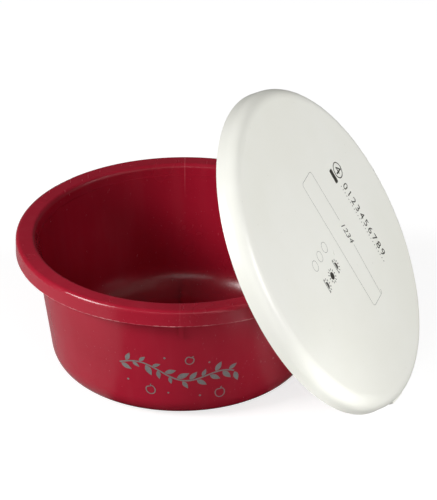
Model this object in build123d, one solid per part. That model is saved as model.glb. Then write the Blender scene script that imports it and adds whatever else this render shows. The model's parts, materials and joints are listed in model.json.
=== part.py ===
from math import cos, radians, sin, tan
import os

from build123d import *

os.makedirs("parts", exist_ok=True)

# Millimetres, +Z up. The origin is the middle of the bowl's flat underside, on the
# surface that the bowl stands on. -Y is the side with the print.

# Bowl, driving sizes
bowl_height = 111.7
flange_edge_d = 259.2        # across the lower edge of the hanging flange
flange_draft = 0.5           # degrees, the flange opens downwards
flange_height = 12.9
flange_thickness = 2.0
rim_thickness = 2.4
rim_outer_rounding = 3.2
rim_inner_rounding = 3.6
rim_flat_width = 15.4        # from the collar's mouth to the flange's outside, at the top
wall_base_r = 100.6          # outside of the wall, carried down to the underside
wall_draft = 7.75            # degrees
wall_thickness = 2.2
floor_thickness = 3.0
base_rounding = 21.7         # outside, between the wall and the underside
inner_base_rounding = 28.0   # inside, between the wall and the floor
collar_drop = 8.9            # from the rim's top down to the stacking step
collar_draft = 8.6           # degrees

# Bowl, ribs
gusset_width = 4.4           # upright rib under the flange, on the print side
gusset_proud = 1.5
gusset_low_z = 79.3          # its rounded lower end
floor_rib_width = 8.4        # low rib across the floor and up the rounded corner
floor_rib_height = 2.4
floor_rib_turn = 88.2        # degrees about Z from +X, the side it runs to
floor_rib_end_z = 17.0       # height at which it ends on the corner
floor_rib_start_r = 12.0

# Lid, driving sizes
lid_clearance = 0.5          # between the lid's skirt and the flange
lid_skirt_thickness = 1.8
lid_panel_thickness = 2.8
lid_depth = 17.0
lid_edge_rounding = 10.6
lid_draft = 3.5              # degrees, the skirt opens towards its edge
gate_mark_r = 1.9
gate_mark_proud = 0.5
gate_mark_x = -3.0
gate_mark_y = -5.4
tab_width = 23.0             # pull tab, a lip that stands out of the skirt
tab_reach = 1.0
tab_root = 1.2
tab_thickness = 3.5
tab_below_face = 9.5
tab_turn = -95.5             # degrees in the lid's own plane
tab_corner = 1.5

# Lid, how it leans: tilt and heading of its axis, and how far it sits off the heading
lid_tilt = 60.01
lid_heading = -18.23
lid_side_shift = -7.2
contact_gap = 0.6            # between the lid and the rim it leans on
ground_gap = 0.1


def ring_solid(points, roundings):
    """Turn a closed half section round Z, with its corners rounded."""
    edges = Polyline(*[(r, z) for r, z in points], close=True)
    section = make_face(edges)
    for place, radius in roundings:
        corner = section.vertices().sort_by_distance((place[0], place[1], 0))[0]
        section = fillet(corner, radius)
    upright = Plane.XZ.location * section
    return revolve(upright, Axis.Z)


# Bowl section, outside first and then inside
flange_edge_r = flange_edge_d / 2
flange_low_z = bowl_height - flange_height
flange_top_r = flange_edge_r - flange_height * tan(radians(flange_draft))
rim_under_z = bowl_height - rim_thickness
collar_mouth_r = flange_top_r - rim_flat_width
step_z = bowl_height - collar_drop
collar_step_r = collar_mouth_r - collar_drop * tan(radians(collar_draft))


def wall_outer_r(z):
    return wall_base_r + z * tan(radians(wall_draft))


wall_across = wall_thickness / cos(radians(wall_draft))
step_under_z = step_z - wall_thickness
foot = (wall_base_r, 0)
wall_top = (wall_outer_r(step_under_z), step_under_z)
collar_foot = (collar_step_r + wall_thickness, step_under_z)
collar_top = (collar_mouth_r + wall_thickness, rim_under_z)
flange_in_top = (flange_top_r - flange_thickness, rim_under_z)
flange_in_low = (flange_edge_r - flange_thickness, flange_low_z)
flange_out_low = (flange_edge_r, flange_low_z)
flange_out_top = (flange_top_r, bowl_height)
mouth = (collar_mouth_r, bowl_height)
step_outer = (collar_step_r, step_z)
step_inner = (wall_outer_r(step_z) - wall_across, step_z)
floor_corner = (wall_outer_r(floor_thickness) - wall_across, floor_thickness)

bowl_section = [
    (0, 0),
    foot,
    wall_top,
    collar_foot,
    collar_top,
    flange_in_top,
    flange_in_low,
    flange_out_low,
    flange_out_top,
    mouth,
    step_outer,
    step_inner,
    floor_corner,
    (0, floor_thickness),
]
bowl_roundings = [
    (foot, base_rounding),
    (flange_in_top, rim_outer_rounding - flange_thickness),
    (collar_top, rim_inner_rounding - wall_thickness),
    (flange_out_top, rim_outer_rounding),
    (mouth, rim_inner_rounding),
    (floor_corner, inner_base_rounding),
]
bowl = ring_solid(bowl_section, bowl_roundings)

# Upright rib under the flange, laid on the wall's slope, its lower end rounded
gusset_top_z = step_z - wall_thickness / 2
gusset_mid_z = (gusset_low_z + gusset_top_z) / 2
gusset_length = (gusset_top_z - gusset_low_z) / cos(radians(wall_draft))
gusset_plane = Plane(
    origin=(0, -wall_outer_r(gusset_mid_z), gusset_mid_z),
    x_dir=(1, 0, 0),
    z_dir=(0, -cos(radians(wall_draft)), -sin(radians(wall_draft))),
)
gusset_outline = Rectangle(gusset_width, gusset_length - gusset_width / 2)
gusset_outline = Pos(0, gusset_width / 4) * gusset_outline
gusset_end = Pos(0, gusset_width / 2 - gusset_length / 2) * Circle(gusset_width / 2)
gusset_face = gusset_plane.location * (gusset_outline + gusset_end)
gusset_normal = gusset_plane.z_dir
gusset = extrude(gusset_face, gusset_proud, dir=gusset_normal)
gusset += extrude(gusset_face, -wall_thickness / 2, dir=gusset_normal)
bowl += gusset

# Low rib on the floor: the skin between the inside and a copy of it moved in,
# kept only within an upright slot shape
rib_section = [
    (0, floor_thickness / 2),
    (floor_corner[0] + wall_across / 2, floor_thickness / 2),
    (wall_outer_r(step_z / 2) - wall_across / 2, step_z / 2),
    (wall_outer_r(step_z / 2) - wall_across - floor_rib_height, step_z / 2),
    (floor_corner[0] - floor_rib_height, floor_thickness + floor_rib_height),
    (0, floor_thickness + floor_rib_height),
]
rib_rounding = inner_base_rounding - floor_rib_height
rib_roundings = [
    (rib_section[1], inner_base_rounding + wall_across / 2),
    (rib_section[4], rib_rounding),
]
rib_skin = ring_solid(rib_section, rib_roundings)
corner_centre_z = floor_thickness + inner_base_rounding
rib_rise = (corner_centre_z - floor_rib_end_z) / rib_rounding
corner_centre_r = floor_corner[0] - inner_base_rounding * tan(radians(45 - wall_draft / 2))
rib_end_r = corner_centre_r + rib_rounding * (1 - rib_rise ** 2) ** 0.5
rib_length = rib_end_r - floor_rib_start_r
rib_outline = Pos((floor_rib_start_r + rib_end_r) / 2, 0) * SlotOverall(rib_length, floor_rib_width)
rib_prism = extrude(rib_outline, floor_rib_end_z + floor_rib_height)
floor_rib = Rot(0, 0, floor_rib_turn) * (rib_skin & rib_prism)
bowl += floor_rib
bowl.label = "bowl"

# Lid section, its outer face on the plane z = 0 and its skirt below
lid_edge_r = flange_edge_r + lid_clearance + lid_skirt_thickness
lid_top_r = lid_edge_r - lid_depth * tan(radians(lid_draft))
lid_inner_edge_r = lid_edge_r - lid_skirt_thickness
lid_inner_top_r = lid_top_r - lid_skirt_thickness
lid_shoulder = (lid_top_r, 0)
lid_inner_shoulder = (lid_inner_top_r, -lid_panel_thickness)
lid_section = [
    (0, 0),
    lid_shoulder,
    (lid_edge_r, -lid_depth),
    (lid_inner_edge_r, -lid_depth),
    lid_inner_shoulder,
    (0, -lid_panel_thickness),
]
lid_roundings = [
    (lid_shoulder, lid_edge_rounding),
    (lid_inner_shoulder, lid_edge_rounding - lid_skirt_thickness),
]
lid = ring_solid(lid_section, lid_roundings)

# Small moulding mark near the middle of the lid
gate_mark = Pos(gate_mark_x, gate_mark_y, 0) * Cylinder(
    gate_mark_r, gate_mark_proud * 2, align=(Align.CENTER, Align.CENTER, Align.CENTER)
)
lid += gate_mark

# Pull tab on the skirt
tab_outline = Rectangle(tab_reach + tab_root, tab_width, align=(Align.MIN, Align.CENTER))
tab_ends = tab_outline.vertices().group_by(Axis.X)[-1]
tab_outline = fillet(tab_ends, tab_corner)
tab = extrude(tab_outline, tab_thickness)
tab = Pos(lid_edge_r - tab_root, 0, -tab_below_face - tab_thickness) * tab
tab = Rot(0, 0, tab_turn) * tab
lid += tab

# Place of the lid: its edge stands on the ground and its underside meets the rim
tilt = radians(lid_tilt)
heading = radians(lid_heading)
lid_normal = (sin(tilt) * cos(heading), sin(tilt) * sin(heading), cos(tilt))
lid_across = (-sin(heading), cos(heading), 0)
rim_edge_r = flange_top_r - rim_outer_rounding
rim_edge_z = bowl_height - rim_outer_rounding
lid_z = ground_gap + lid_depth * cos(tilt) + lid_edge_r * sin(tilt)
lean = (rim_edge_z - lid_z) * cos(tilt) + lid_panel_thickness + contact_gap + rim_outer_rounding
lid_out = rim_edge_r + lean / sin(tilt)
lid_x = lid_out * cos(heading) - lid_side_shift * sin(heading)
lid_y = lid_out * sin(heading) + lid_side_shift * cos(heading)
lid_plane = Plane(origin=(lid_x, lid_y, lid_z), x_dir=lid_across, z_dir=lid_normal)
lid = lid_plane.location * lid
lid.label = "lid"

export_step(bowl, "parts/bowl.step")
export_step(lid, "parts/lid.step")
print("lid centre", lid_x, lid_y, lid_z, "normal", lid_normal)
for piece in (bowl, lid):
    box = piece.bounding_box()
    print(piece.label, piece.volume / 1000, len(piece.solids()), box.min, box.max)
print("overlap", (bowl & lid).volume if (bowl & lid) is not None else 0)
print("rib end radius", rib_end_r)
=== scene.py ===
import json
from math import cos, hypot, pi, radians, sin

import bpy
from mathutils import Matrix, Vector
from mathutils.bvhtree import BVHTree


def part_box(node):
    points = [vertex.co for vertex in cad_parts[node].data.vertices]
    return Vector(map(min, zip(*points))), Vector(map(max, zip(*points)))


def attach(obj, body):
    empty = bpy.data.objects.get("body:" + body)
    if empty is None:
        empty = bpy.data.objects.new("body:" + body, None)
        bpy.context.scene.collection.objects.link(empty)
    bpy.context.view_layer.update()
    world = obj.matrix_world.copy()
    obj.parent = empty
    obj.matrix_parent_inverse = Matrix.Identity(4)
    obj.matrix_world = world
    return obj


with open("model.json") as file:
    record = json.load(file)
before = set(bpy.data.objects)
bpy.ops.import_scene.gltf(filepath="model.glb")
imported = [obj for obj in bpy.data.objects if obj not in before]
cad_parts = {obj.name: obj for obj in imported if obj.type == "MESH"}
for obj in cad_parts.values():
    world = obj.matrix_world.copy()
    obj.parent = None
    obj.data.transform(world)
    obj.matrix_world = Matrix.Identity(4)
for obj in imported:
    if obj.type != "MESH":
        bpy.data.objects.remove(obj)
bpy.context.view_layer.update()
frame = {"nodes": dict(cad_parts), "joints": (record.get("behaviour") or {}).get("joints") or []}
scene = bpy.context.scene
mm = 0.001


# Helpers for node trees

class Value:
    """A node's output that takes part in Python arithmetic."""

    def __init__(self, tree, socket):
        self.tree = tree
        self.socket = socket

    def __add__(self, other):
        return self.tree.math("ADD", self, other)

    def __radd__(self, other):
        return self.tree.math("ADD", other, self)

    def __sub__(self, other):
        return self.tree.math("SUBTRACT", self, other)

    def __rsub__(self, other):
        return self.tree.math("SUBTRACT", other, self)

    def __mul__(self, other):
        return self.tree.math("MULTIPLY", self, other)

    def __rmul__(self, other):
        return self.tree.math("MULTIPLY", other, self)


class Tree:
    """Adds nodes to a shader or geometry tree."""

    def __init__(self, tree):
        self.tree = tree

    def node(self, kind, settings=None, inputs=()):
        """One node: its settings first, then the values or links of its sockets."""
        made = self.tree.nodes.new(kind)
        for key, value in (settings or {}).items():
            setattr(made, key, value)
        pairs = inputs.items() if isinstance(inputs, dict) else enumerate(inputs)
        for key, value in pairs:
            if isinstance(value, Value):
                self.tree.links.new(value.socket, made.inputs[key])
            elif value is not None:
                made.inputs[key].default_value = value
        return [Value(self, out) for out in made.outputs]

    def math(self, operation, *values):
        return self.node("ShaderNodeMath", {"operation": operation}, list(values))[0]

    def split(self, vector):
        return self.node("ShaderNodeSeparateXYZ", None, [vector])

    def join(self, x, y, z):
        return self.node("ShaderNodeCombineXYZ", None, [x, y, z])[0]


class Shader(Tree):
    """One material's nodes."""

    def __init__(self, name):
        self.material = bpy.data.materials.new(name)
        self.material.use_nodes = True
        super().__init__(self.material.node_tree)
        self.tree.nodes.clear()

    def mix(self, factor, first, second):
        """From the first colour at 0 to the second at 1."""
        inputs = {0: factor, 6: first, 7: second}
        return self.node("ShaderNodeMix", {"data_type": "RGBA"}, inputs)[2]

    def ramp(self, value, low, high, at_low=0.0, at_high=1.0):
        """Goes smoothly from one value to another between low and high."""
        settings = {"interpolation_type": "SMOOTHSTEP", "clamp": True}
        return self.node("ShaderNodeMapRange", settings, [value, low, high, at_low, at_high])[0]

    def band(self, value, low, high, soft):
        """1 between low and high, with soft edges."""
        rise = self.ramp(value, low - soft, low + soft)
        return rise * self.ramp(value, high - soft, high + soft, 1.0, 0.0)

    def place(self):
        """Object coordinates."""
        return self.node("ShaderNodeTexCoord")[3]

    def noise(self, where, scale, detail=2.0, rough=0.5):
        inputs = {"Vector": where, "Scale": scale, "Detail": detail, "Roughness": rough}
        return self.node("ShaderNodeTexNoise", None, inputs)[0]

    def stretched(self, where, x, y, z):
        return self.node("ShaderNodeMapping", None, {"Vector": where, "Scale": (x, y, z)})[0]

    def bump(self, height, strength, depth):
        inputs = {"Strength": strength, "Distance": depth, "Height": height}
        return self.node("ShaderNodeBump", None, inputs)[0]

    def plastic(self, colour, roughness, normal):
        inputs = {"Base Color": colour, "Roughness": roughness, "Normal": normal}
        return self.finish(self.node("ShaderNodeBsdfPrincipled", None, inputs)[0])

    def finish(self, surface):
        self.node("ShaderNodeOutputMaterial", None, {"Surface": surface})
        return self.material


class Geometry(Tree):
    """One geometry tree with named inputs. It gives a plain mesh with a material."""

    def __init__(self, name, **sizes):
        self.group = bpy.data.node_groups.new(name, "GeometryNodeTree")
        super().__init__(self.group)
        self.sizes = sizes
        self.identifier = {}
        kinds = {int: "NodeSocketInt", float: "NodeSocketFloat"}
        sockets = self.group.interface
        for size, value in sizes.items():
            kind = kinds.get(type(value), "NodeSocketObject")
            made = sockets.new_socket(size, in_out="INPUT", socket_type=kind)
            self.identifier[size] = made.identifier
        sockets.new_socket("Geometry", in_out="OUTPUT", socket_type="NodeSocketGeometry")
        for size, out in zip(sizes, self.node("NodeGroupInput")):
            setattr(self, size, out)

    def mesh(self, name, shape, material):
        """Ends the tree and turns its result into a plain mesh object."""
        shape = self.node("GeometryNodeRealizeInstances", None, [shape])[0]
        inputs = {"Geometry": shape, "Material": material}
        shape = self.node("GeometryNodeSetMaterial", None, inputs)[0]
        self.node("NodeGroupOutput", None, [shape])
        carrier = bpy.data.objects.new(name, bpy.data.meshes.new(name + " seed"))
        scene.collection.objects.link(carrier)
        modifier = carrier.modifiers.new("build", "NODES")
        modifier.node_group = self.group
        for size, value in self.sizes.items():
            modifier[self.identifier[size]] = value
        seen = carrier.evaluated_get(bpy.context.evaluated_depsgraph_get())
        made = bpy.data.meshes.new_from_object(seen)
        made.name = name
        carrier.modifiers.remove(modifier)
        carrier.data = made
        return carrier


def linear(red, green, blue):
    """A colour read as 0-255 on screen, as a linear colour."""
    def one(part):
        part = part / 255
        return part / 12.92 if part <= 0.04045 else ((part + 0.055) / 1.055) ** 2.4
    return (one(red), one(green), one(blue), 1.0)


# Camera, found from the outlines of the rim and the flange
fit_unit = 129 * mm
eye = Vector((0.22678772, -25.80478839, 14.65484675)) * fit_unit
back = Vector((0.0, -0.88011927, 0.47475265))
right = Vector((0.99995499, -0.00450429, -0.00835027))
up = Vector((0.00948765, 0.47473128, 0.88007965))
focal_px = 4822.29
picture_px = 500
sensor = 36.0
camera_data = bpy.data.cameras.new("photo camera")
camera_data.sensor_width = sensor
camera_data.lens = focal_px * sensor / picture_px
camera_data.clip_start = 0.1
camera_data.clip_end = 60
camera = bpy.data.objects.new("photo camera", camera_data)
turned = Matrix((right, up, back)).transposed().to_4x4()
camera.matrix_world = Matrix.Translation(eye) @ turned
scene.collection.objects.link(camera)
scene.camera = camera

# Places on the object, read from the frame, beside three sizes that are set here
bowl = frame["nodes"]["bowl"]
lid = frame["nodes"]["lid"]
flange_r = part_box("bowl")[1][0]
rim_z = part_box("bowl")[1][2]
flange_height = 12.9 * mm
flange_low_z = rim_z - flange_height
rim_mark_r = 122.6 * mm
gate_mark_proud = 0.5 * mm
lid_axis = Vector(frame["joints"][0]["axis"]).normalized()
lid_across = Vector((0, 0, 1)).cross(lid_axis).normalized()
lid_upslope = lid_axis.cross(lid_across)
lid_points = [lid.matrix_world @ v.co for v in lid.data.vertices]
across = [p.dot(lid_across) for p in lid_points]
lid_r = (max(across) - min(across)) / 2
lid_face = max(p.dot(lid_axis) for p in lid_points) - gate_mark_proud
lid_middle = (
    lid_across * (min(across) + lid_r)
    + lid_upslope * (max(p.dot(lid_upslope) for p in lid_points) - lid_r)
    + lid_axis * lid_face
)
wall = BVHTree.FromPolygons(
    [bowl.matrix_world @ v.co for v in bowl.data.vertices],
    [p.vertices[:] for p in bowl.data.polygons],
)


def on_lid(x, y, lift):
    """A point on the lid's face, x across and y up the slope from its middle."""
    return lid_middle + lid_across * x + lid_upslope * y + lid_axis * lift


def on_wall(azimuth, z, lift):
    """A point on the outside of the bowl's wall."""
    outward = Vector((cos(azimuth), sin(azimuth), 0))
    found = wall.ray_cast(outward * flange_r * 2 + Vector((0, 0, z)), -outward)
    return found[0] + outward * lift


# Finishes. Sizes of patterns are in repeats per metre
bowl_colour = linear(168, 25, 48)
bowl_deep_colour = linear(160, 21, 43)
bowl_pale_colour = linear(214, 110, 118)
bowl_roughness = 0.25
weld_back = radians(88.6)
weld_front = radians(-90.3)
lid_colour = linear(243, 243, 236)
lid_warm_colour = linear(239, 239, 230)
lid_grime_colour = linear(170, 168, 156)
lid_roughness = 0.36
# The fin's two colours are lighter than the bowl's red: painted highlight along its edge.
fin_red_with_painted_highlight = linear(176, 52, 68)
fin_painted_highlight_colour = linear(208, 120, 126)
fin_roughness = 0.4
grain_depth = 0.05 * mm
ink_grain_depth = 0.02 * mm


def bowl_finish():
    """Wine red, slightly uneven, with weld lines, fine scuffs and dust."""
    flow_shade = 0.03
    back_shade, front_shade = 0.35, 0.1
    side_start, side_full = 50 * mm, 60 * mm
    fade_start, fade_end = rim_z - 32 * mm, rim_z - 6 * mm
    scuff_shade, speck_shade = 0.1, 0.2
    s = Shader("wine red plastic")
    where = s.place()
    x, y, z = s.split(where)
    cloud = s.noise(where, scale=13.0, detail=3.0)
    grain = s.noise(where, scale=1400.0)
    ripple = s.noise(where, scale=38.0)
    flow = s.noise(s.stretched(where, x=90.0, y=90.0, z=9.0), scale=1.0, detail=3.0)
    colour = s.mix(s.ramp(cloud, 0.3, 0.7), bowl_colour, bowl_deep_colour)
    colour = s.mix(s.ramp(flow, 0.45, 0.75) * flow_shade, colour, bowl_pale_colour)
    # lighter hairline where the plastic met in the mould, on the back and on the front rim
    away_back = x * sin(weld_back) - y * cos(weld_back)
    back_line = s.band(away_back, -0.3 * mm, 0.3 * mm, soft=0.25 * mm)
    back_line = back_line * s.ramp(y, side_start, side_full) * s.ramp(z, fade_start, fade_end)
    away_front = x * sin(weld_front) - y * cos(weld_front)
    front_line = s.band(away_front, -0.5 * mm, 0.2 * mm, soft=0.3 * mm)
    front_line = front_line * s.ramp(y, -side_start, -side_full)
    front_line = front_line * s.ramp(z, flange_low_z - 1 * mm, flange_low_z + 2 * mm)
    weld = back_line * back_shade + front_line * front_shade
    colour = s.mix(weld, colour, bowl_pale_colour)
    # small scuffs, and specks of dust
    scratchy = s.stretched(where, x=500.0, y=60.0, z=300.0)
    scuff = s.noise(scratchy, scale=1.0, detail=3.0, rough=0.6)
    scuffs = s.ramp(scuff, 0.66, 0.74) * s.ramp(cloud, 0.4, 0.65)
    speck = s.ramp(s.noise(where, scale=420.0, detail=1.0), 0.83, 0.86)
    colour = s.mix(scuffs * scuff_shade + speck * speck_shade, colour, bowl_pale_colour)
    roughness = bowl_roughness + (cloud - 0.5) * 0.1 + (ripple - 0.5) * 0.06 + scuffs * 0.12
    height = grain * 0.5 + ripple * 2.0 + flow * 0.3
    return s.plastic(colour, roughness, s.bump(height, strength=0.25, depth=grain_depth))


def lid_finish():
    """Milk white, with a few specks and fine scratches."""
    speck_shade, scratch_shade = 0.35, 0.1
    s = Shader("milk white plastic")
    where = s.place()
    cloud = s.noise(where, scale=11.0, detail=3.0)
    grain = s.noise(where, scale=1300.0)
    ripple = s.noise(where, scale=30.0)
    colour = s.mix(s.ramp(cloud, 0.3, 0.7), lid_colour, lid_warm_colour)
    speck = s.ramp(s.noise(where, scale=330.0, detail=1.0), 0.79, 0.81)
    scratchy = s.stretched(where, x=40.0, y=900.0, z=60.0)
    scratch = s.noise(scratchy, scale=1.0, rough=0.6)
    scratches = s.ramp(scratch, 0.7, 0.76) * s.ramp(cloud, 0.45, 0.7)
    colour = s.mix(speck * speck_shade + scratches * scratch_shade, colour, lid_grime_colour)
    roughness = lid_roughness + (cloud - 0.5) * 0.1 + scratches * 0.12 + (ripple - 0.5) * 0.05
    height = grain * 0.5 + ripple * 3.0
    return s.plastic(colour, roughness, s.bump(height, strength=0.2, depth=grain_depth))


def ink_finish(name, colour, worn_colour, roughness):
    """Ink with a finely broken tone."""
    s = Shader(name)
    cover = s.noise(s.place(), scale=700.0, detail=3.0, rough=0.6)
    tone = s.mix(s.ramp(cover, 0.4, 0.8), colour, worn_colour)
    uneven = roughness + (cover - 0.5) * 0.15
    return s.plastic(tone, uneven, s.bump(cover, strength=0.15, depth=ink_grain_depth))


def fin_painted_highlight_finish():
    """The bowl's red made lighter, with pale patches: a painted highlight along the fin's edge.
    """
    s = Shader("red moulding fin with painted highlight")
    # pale patches of painted highlight over a red that is itself lightened as painted highlight
    patch = s.noise(s.place(), scale=60.0, detail=3.0)
    colour = s.mix(s.ramp(patch, 0.4, 0.6), fin_red_with_painted_highlight, fin_painted_highlight_colour)
    roughness = fin_roughness + (patch - 0.5) * 0.2
    return s.plastic(colour, roughness, s.bump(patch, strength=0.2, depth=grain_depth))


red_plastic = bowl_finish()
white_plastic = lid_finish()
grey_ink = ink_finish("grey ink", linear(128, 128, 126), linear(108, 106, 106), 0.45)
dark_ink = ink_finish("dark ink", linear(40, 36, 28), linear(70, 66, 58), 0.5)
fine_ink = ink_finish("thin grey ink", linear(150, 150, 144), linear(120, 120, 114), 0.5)

for piece, finish in ((bowl, red_plastic), (lid, white_plastic)):
    piece.data.materials.clear()
    piece.data.materials.append(finish)


def moulding_fin():
    """Ragged fin left by the mould along the flange's lower edge."""
    bare_below, growth, least = 0.38, 2.4, 0.05
    g = Geometry("moulding fin", ring_r=flange_r - 0.14 * mm, edge_z=flange_low_z,
                 thickness=0.24 * mm, overlap=0.5 * mm, drop=0.5 * mm, steps=720)
    ring = {"Resolution": g.steps, "Radius": g.ring_r}
    path = g.node("GeometryNodeCurvePrimitiveCircle", None, ring)[0]
    section = {"Width": g.thickness, "Height": g.overlap}
    profile = g.node("GeometryNodeCurvePrimitiveQuadrilateral", None, section)[0]
    swept = {"Curve": path, "Profile Curve": profile}
    shape = g.node("GeometryNodeCurveToMesh", None, swept)[0]
    place = g.node("GeometryNodeInputPosition")[0]
    height = g.split(place)[2]
    uneven = {"Vector": place, "Scale": 85.0, "Detail": 4.0}
    ragged = g.node("ShaderNodeTexNoise", None, uneven)[0]
    lower = g.math("LESS_THAN", height, 0.0)
    share = g.math("MAXIMUM", (ragged - bare_below) * growth, least)
    down = g.edge_z - lower * g.drop * share
    offset = {"Geometry": shape, "Offset": g.join(0.0, 0.0, down)}
    moved = g.node("GeometryNodeSetPosition", None, offset)[0]
    return g.mesh("moulding_fin", moved, fin_painted_highlight_finish())


def rim_marks():
    """Fine raised rings on the rim's top, evenly spaced."""
    g = Geometry("rim marks", ring_r=rim_mark_r, rim_z=rim_z, mark_r=3.7 * mm,
                 line_r=0.13 * mm, first=radians(18.5), count=8)
    ring = {"Vertices": g.count, "Radius": g.ring_r}
    spots = g.node("GeometryNodeMeshCircle", None, ring)[0]
    moved = {"Geometry": spots, "Translation": g.join(0.0, 0.0, g.rim_z),
             "Rotation": g.join(0.0, 0.0, g.first)}
    spots = g.node("GeometryNodeTransform", None, moved)[0]
    outline = {"Resolution": 40, "Radius": g.mark_r}
    line = g.node("GeometryNodeCurvePrimitiveCircle", None, outline)[0]
    section = {"Resolution": 6, "Radius": g.line_r}
    profile = g.node("GeometryNodeCurvePrimitiveCircle", None, section)[0]
    swept = {"Curve": line, "Profile Curve": profile}
    mark = g.node("GeometryNodeCurveToMesh", None, swept)[0]
    placed = {"Points": spots, "Instance": mark}
    marks = g.node("GeometryNodeInstanceOnPoints", None, placed)[0]
    return g.mesh("rim_ejector_marks", marks, red_plastic)


for piece in (moulding_fin(), rim_marks()):
    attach(piece, "bowl")


# Prints, thin films of ink laid on the lid's face and round the bowl's wall
ink_thickness = 0.05 * mm
ink_lift = 0.06 * mm
wall_ink_lift = 0.1 * mm
font_height = 0.7
fine_line = 0.36 * mm


def around(x, y, radius, angle):
    return (x + radius * cos(angle), y + radius * sin(angle))


def circle(x, y, radius, count=40, start=0.0, end=2 * pi):
    """Points round an arc. A whole circle leaves out the second point at its start."""
    whole = abs(end - start - 2 * pi) < 1e-6
    steps = count if whole else count - 1
    return [around(x, y, radius, start + (end - start) * i / steps) for i in range(count)]


def rounded_box(x, y, half_x, half_y, corner, turn):
    """A closed outline with round corners, turned about its middle."""
    corner_points = 7
    outline = []
    for quarter, (side_x, side_y) in enumerate(((1, 1), (-1, 1), (-1, -1), (1, -1))):
        start = quarter * pi / 2
        middle_x = side_x * (half_x - corner)
        middle_y = side_y * (half_y - corner)
        outline += circle(middle_x, middle_y, corner, corner_points, start, start + pi / 2)
    return [(x + u * cos(turn) - v * sin(turn), y + u * sin(turn) + v * cos(turn))
            for u, v in outline]


class Print:
    """Flat ink shapes in one mesh, laid on a surface by a function of two lengths."""

    def __init__(self, lay):
        self.lay = lay
        self.points = []
        self.faces = []

    def add(self, points, faces):
        start = len(self.points)
        self.points += [self.lay(x, y) for x, y in points]
        self.faces += [[start + i for i in face] for face in faces]

    def stroke(self, line, width, closed=False):
        """A line of even width through these points."""
        count = len(line)
        sides = []
        for i, (x, y) in enumerate(line):
            before = line[i - 1] if closed or i else line[0]
            after = line[(i + 1) % count] if closed or i < count - 1 else line[-1]
            run = hypot(after[0] - before[0], after[1] - before[1])
            out_x = (after[1] - before[1]) / run * width / 2
            out_y = (before[0] - after[0]) / run * width / 2
            sides += [(x + out_x, y + out_y), (x - out_x, y - out_y)]
        quads = []
        for i in range(count if closed else count - 1):
            following = (i + 1) % count
            quads.append([2 * i, 2 * following, 2 * following + 1, 2 * i + 1])
        self.add(sides, quads)

    def patch(self, middle, outline):
        """A filled shape that can be seen whole from its middle."""
        count = len(outline)
        self.add([middle, *outline], [[0, 1 + i, 1 + (i + 1) % count] for i in range(count)])

    def dot(self, x, y, radius, count):
        self.patch((x, y), circle(x, y, radius, count))

    def text(self, body, height, x, y, spacing=1.0, slant=0.0):
        """Plain numerals, centred at a place."""
        words = bpy.data.curves.new("numerals", "FONT")
        words.body = body
        words.size = height / font_height
        words.space_character = spacing
        words.shear = slant
        words.align_x = "CENTER"
        words.align_y = "CENTER"
        holder = bpy.data.objects.new("numerals", words)
        scene.collection.objects.link(holder)
        seen = holder.evaluated_get(bpy.context.evaluated_depsgraph_get())
        flat = bpy.data.meshes.new_from_object(seen)
        points = [(x + v.co.x, y + v.co.y) for v in flat.vertices]
        self.add(points, [p.vertices[:] for p in flat.polygons])
        bpy.data.objects.remove(holder)
        bpy.data.meshes.remove(flat)

    def done(self, name, finish, body, slot):
        """Makes the film, and puts it on its body."""
        mesh = bpy.data.meshes.new(name)
        mesh.from_pydata(self.points, [], self.faces)
        mesh.materials.append(finish)
        made = bpy.data.objects.new(name, mesh)
        scene.collection.objects.link(made)
        film = made.modifiers.new("film", "SOLIDIFY")
        film.thickness = ink_thickness
        film.offset = -1
        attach(made, body)


# The lid's prints read down the slope: the length in that direction comes first

def lid_print():
    return Print(lambda along, above: on_lid(above, -along, ink_lift))


def writing_field(ink):
    """Long box for writing in, with a gap in its upper side for numerals."""
    middle_x, middle_y = 4.8 * mm, 20.1 * mm
    half_long, half_wide = 57.8 * mm, 11.3 * mm
    gap_start, gap_end = -6.5 * mm, 16.2 * mm
    corner_r = 3.0 * mm
    turn = radians(2.1)
    outline = rounded_box(middle_x, middle_y, half_long, half_wide, corner_r, turn)
    upper = middle_y + half_wide
    cut_left = (gap_start, upper + (gap_start - middle_x) * sin(turn))
    cut_right = (gap_end, upper + (gap_end - middle_x) * sin(turn))
    ink.stroke([cut_right, *outline[:7]][::-1], fine_line)
    ink.stroke([cut_left, *outline[7:], outline[0]], fine_line)


def sun(ink, x, y, half):
    """Disc with rays, or the upper half of one over a line."""
    disc_r, ray_in, ray_out = 3.1 * mm, 4.2 * mm, 6.0 * mm
    ray_width = 0.7 * mm
    line_below, line_width = 1.1 * mm, 0.55 * mm
    rays = 12
    disc_points = 30
    ink.patch((x, y), circle(x, y, disc_r, disc_points, 0.0, pi if half else 2 * pi))
    for k in range(rays // 2 + 1 if half else rays):
        angle = 2 * pi * k / rays
        ink.stroke([around(x, y, ray_in, angle), around(x, y, ray_out, angle)], ray_width)
    if half:
        low = y - line_below
        ink.stroke([(x - ray_out, low), (x + ray_out, low)], line_width)


tick_circle_r = 4.25 * mm
tick_circles = ((-4.9, -12.5), (-3.9, -26.2), (-2.6, -39.8))
suns = ((13.2, -11.5, True), (15.1, -24.1, False), (16.2, -38.8, True))

thin = lid_print()
writing_field(thin)
for along, above in tick_circles:
    thin.stroke(circle(along * mm, above * mm, tick_circle_r), fine_line, closed=True)
thin.done("lid_fine_lines", fine_ink, "lid", "lid_plastic")

dot_count = 24
dot_start = -22 * mm
dot_step = 3.05 * mm
dot_row = 61.5 * mm
dot_r = 0.5 * mm
badge_x, badge_y = -33 * mm, 69.5 * mm
badge_r = 6.4 * mm
badge_line = 0.9 * mm
bar_y = 58.8 * mm
bar_half_long, bar_half_wide, bar_corner = 6.0 * mm, 2.4 * mm, 1.0 * mm

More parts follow.
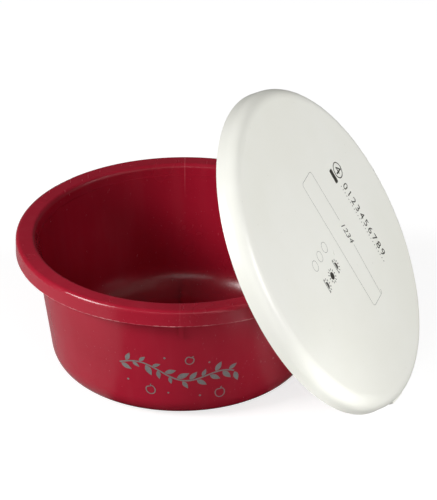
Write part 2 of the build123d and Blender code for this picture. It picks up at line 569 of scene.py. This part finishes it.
dark = lid_print()
for along, above, half in suns:
    sun(dark, along * mm, above * mm, half)
dark.text("1234", height=6.4 * mm, x=4.8 * mm, y=31.2 * mm, slant=0.3)
dark.text("0123456789", height=7.4 * mm, x=12.0 * mm, y=67.0 * mm, spacing=1.3)
for k in range(dot_count):
    dark.dot(dot_start + k * dot_step, dot_row, dot_r, count=10)
dark.stroke(circle(badge_x, badge_y, badge_r), badge_line, closed=True)
dark.text("4", height=9.5 * mm, x=badge_x, y=badge_y)
bar = rounded_box(badge_x, bar_y, bar_half_long, bar_half_wide, bar_corner, 0.0)
dark.patch((badge_x, bar_y), bar)
dark.done("lid_dark_print", dark_ink, "lid", "lid_plastic")

# The bowl's print, in lengths round the wall and up it from the print's middle
print_azimuth = radians(-91.5)
print_z = 41 * mm
wall_ref_r = 106 * mm
stem_width = 1.2 * mm
apple_line = 0.8 * mm
stalk_width = 0.7 * mm


def round_wall(x, y):
    return on_wall(print_azimuth + x / wall_ref_r, print_z + y, wall_ink_lift)


def stem_line():
    """A wavy stem that falls gently from left to right."""
    count = 90
    start_x, length = -46, 90
    start_y, fall = 9, 12
    swing, waves = 5.5, 1.35
    line = []
    for i in range(count):
        t = i / (count - 1)
        x = (start_x + length * t) * mm
        line.append((x, (start_y - fall * t + swing * sin(2 * pi * waves * t)) * mm))
    return line


def leaves(stem):
    """Leaves on both sides of the stem in turn, set along it."""
    leaf_length, leaf_half_width, leaf_gap = 8.5 * mm, 1.9 * mm, 1.2 * mm
    leaf_steps = 12
    fullness = 0.8
    stem_mesh = bpy.data.meshes.new("stem path")
    stem_mesh.from_pydata(
        [(x, y, 0) for x, y in stem],
        [(i, i + 1) for i in range(len(stem) - 1)],
        [],
    )
    half_leaf = []
    for i in range(leaf_steps + 1):
        t = i / leaf_steps
        half_leaf.append((t * leaf_length, leaf_half_width * sin(pi * t ** fullness)))
    rim = half_leaf + [(x, -y) for x, y in half_leaf[-2:0:-1]]
    leaf_mesh = bpy.data.meshes.new("leaf")
    facing_up = list(range(len(rim)))[::-1]
    leaf_mesh.from_pydata([(x + leaf_gap, y, 0) for x, y in rim], [], [facing_up])
    stem_object = bpy.data.objects.new("stem path", stem_mesh)
    leaf_object = bpy.data.objects.new("leaf", leaf_mesh)
    g = Geometry("leaves", stem=stem_object, leaf=leaf_object, count=19,
                 lean=radians(48), grow=0.25)
    path = g.node("GeometryNodeObjectInfo", None, [g.stem])[4]
    leaf = g.node("GeometryNodeObjectInfo", None, [g.leaf])[4]
    path = g.node("GeometryNodeMeshToCurve", None, [path])[0]
    spread = {"Curve": path, "Count": g.count}
    points, tangent = g.node("GeometryNodeCurveToPoints", {"mode": "COUNT"}, spread)[:2]
    index = g.node("GeometryNodeInputIndex")[0]
    side = g.math("MODULO", index, 2.0) * 2.0 - 1.0
    run_x, run_y, _ = g.split(tangent)
    turn = g.join(0.0, 0.0, g.math("ARCTAN2", run_y, run_x) + side * g.lean)
    limits = {2: 1.0 - g.grow, 3: 1.0 + g.grow, "ID": index, "Seed": 7}
    chance = g.node("FunctionNodeRandomValue", {"data_type": "FLOAT"}, limits)[1]
    turn = g.node("FunctionNodeEulerToRotation", None, [turn])[0]
    placed = {"Points": points, "Instance": leaf, "Rotation": turn,
              "Scale": g.join(chance, chance, 1.0)}
    made = g.node("GeometryNodeInstanceOnPoints", None, placed)[0]
    flat = g.mesh("leaf_print", made, grey_ink)
    for helper in (stem_object, leaf_object):
        bpy.data.objects.remove(helper)
    return flat


def apple(ink, x, y, size, turn):
    """Outline of an apple with a stalk."""
    count = 36
    swell, dimple = 0.16, 0.28
    stalk_bend = 0.25
    stalk_steps = (0.8, 1.0, 1.25, 1.5)
    outline = []
    for i in range(count):
        a = 2 * pi * i / count
        r = size * (1 + swell * sin(a) ** 2 - dimple * max(0.0, cos(a - pi / 2)) ** 8)
        outline.append(around(x, y, r, a + turn))
    ink.stroke(outline, apple_line, closed=True)
    top = pi / 2 + turn
    ink.stroke([around(x, y, size * t, top - stalk_bend * t) for t in stalk_steps], stalk_width)


apples = ((-22, -13, 3.6, 0.3), (9, 16, 3.2, -0.3), (33, -17, 3.8, 0.15))
berries = (
    (-40, -6, 0.9), (-8, -15, 0.8), (-10, 18, 0.9),
    (24, 13, 0.8), (17, -18, 0.9), (43, 6, 0.8),
)

stem = stem_line()
grey = Print(round_wall)
grey.stroke(stem, stem_width)
flat_leaves = leaves(stem)
leaf_points = [(v.co.x, v.co.y) for v in flat_leaves.data.vertices]
grey.add(leaf_points, [p.vertices[:] for p in flat_leaves.data.polygons])
bpy.data.objects.remove(flat_leaves)
for x, y, size, turn in apples:
    apple(grey, x * mm, y * mm, size * mm, turn)
for x, y, size in berries:
    grey.dot(x * mm, y * mm, size * mm, count=14)
grey.done("bowl_print", grey_ink, "bowl", "bowl_plastic")


# Floor and backdrop
white = (1, 1, 1, 1)


def grey_tone(level):
    return (level, level, level, 1)


def floor_finish():
    """Pale floor. Polished surfaces mirror it as a painted reflection, lighter at the sides and
    dark in front; only mirrored rays see these tones.
    """
    plain, seen_tone, seen_glow = 0.45, 0.4, 0.76
    side_painted_reflection, front_painted_reflection_dark = 0.55, 0.03
    dark_left, dark_right = radians(-38), radians(47)
    s = Shader("floor")
    x, y, _ = s.split(s.place())
    rays = s.node("ShaderNodeLightPath")
    seen, mirrored = rays[0], rays[3]
    # painted reflection: a dark wedge in front and lighter sides, seen only by mirrored rays
    turned = s.math("ARCTAN2", x, y * -1.0)
    front = s.band(turned, dark_left, dark_right, radians(4))
    card = s.mix(front, grey_tone(side_painted_reflection), grey_tone(front_painted_reflection_dark))
    tone = s.mix(mirrored, grey_tone(plain), card)
    tone = s.mix(seen, tone, grey_tone(seen_tone))
    matt = s.node("ShaderNodeBsdfDiffuse", None, {"Color": tone})[0]
    glow = s.node("ShaderNodeEmission", None, {"Color": white, "Strength": seen * seen_glow})[0]
    return s.finish(s.node("ShaderNodeAddShader", None, [matt, glow])[0])


def flat_card(name, corners, finish):
    mesh = bpy.data.meshes.new(name)
    mesh.from_pydata(corners, [], [(0, 1, 2, 3)])
    mesh.materials.append(finish)
    card = bpy.data.objects.new(name, mesh)
    scene.collection.objects.link(card)
    return card


floor_half = 6.0
floor_corners = [
    (-floor_half, -floor_half, 0),
    (floor_half, -floor_half, 0),
    (floor_half, floor_half, 0),
    (-floor_half, floor_half, 0),
]
floor = flat_card("floor", floor_corners, floor_finish())

world_light = 0.07
world = bpy.data.worlds.new("studio")
scene.world = world
world.use_nodes = True
world.node_tree.nodes.clear()
w = Tree(world.node_tree)
strength = w.node("ShaderNodeLightPath")[0] * (1.0 - world_light) + world_light
shine = w.node("ShaderNodeBackground", None, {"Color": white, "Strength": strength})[0]
w.node("ShaderNodeOutputWorld", None, [shine])


# Lamps

def softbox(name, azimuth, elevation, distance, wide, tall, level,
            aim=(0.03, 0, 0.08), glossy=True, spread=180):
    """A softbox at a compass angle and height, facing a point. Level 1 lights white to 1."""
    azimuth, elevation = radians(azimuth), radians(elevation)
    flat_part = cos(elevation)
    toward = Vector((cos(azimuth) * flat_part, sin(azimuth) * flat_part, sin(elevation)))
    lamp = bpy.data.lights.new(name, "AREA")
    lamp.shape = "RECTANGLE"
    lamp.size = wide
    lamp.size_y = tall
    lamp.energy = level * (pi * distance) ** 2
    lamp.spread = radians(spread)
    holder = bpy.data.objects.new(name, lamp)
    holder.rotation_euler = toward.to_track_quat("Z", "Y").to_euler()
    holder.location = Vector(aim) + toward * distance
    holder.visible_glossy = glossy
    holder.visible_camera = False
    scene.collection.objects.link(holder)


softbox("left softbox", azimuth=-157, elevation=27, distance=2.2, wide=0.9, tall=0.65, level=0.97)
softbox("right softbox", azimuth=-25, elevation=30, distance=2.2, wide=1.0, tall=0.8, level=0.68)
softbox("front right softbox", azimuth=-72, elevation=22, distance=2.4,
        wide=0.5, tall=0.7, level=0.06)
softbox("front strip", azimuth=-98, elevation=27, distance=2.6, wide=1.6, tall=0.3, level=0.06)
softbox("low fill under the lid", azimuth=-66, elevation=-3, distance=0.27,
        wide=0.06, tall=0.04, level=0.015, aim=(0.062, -0.08, 0.05), glossy=False, spread=44)


def card_light(name, level):
    s = Shader(name)
    return s.finish(s.node("ShaderNodeEmission", None, {"Strength": level})[0])


# A lit white card on the floor beside the bowl, out of the camera's sight
card_lift = 0.4 * mm
card_plan = [(0.10, -0.17), (0.30, -0.60), (0.75, -0.45), (0.26, -0.10)]
card_corners = [(x, y, card_lift) for x, y in card_plan]
card = flat_card("right floor card", card_corners, card_light("right floor card", 0.9))
card.visible_camera = False
card.visible_shadow = False

scene.view_settings.view_transform = "Standard"
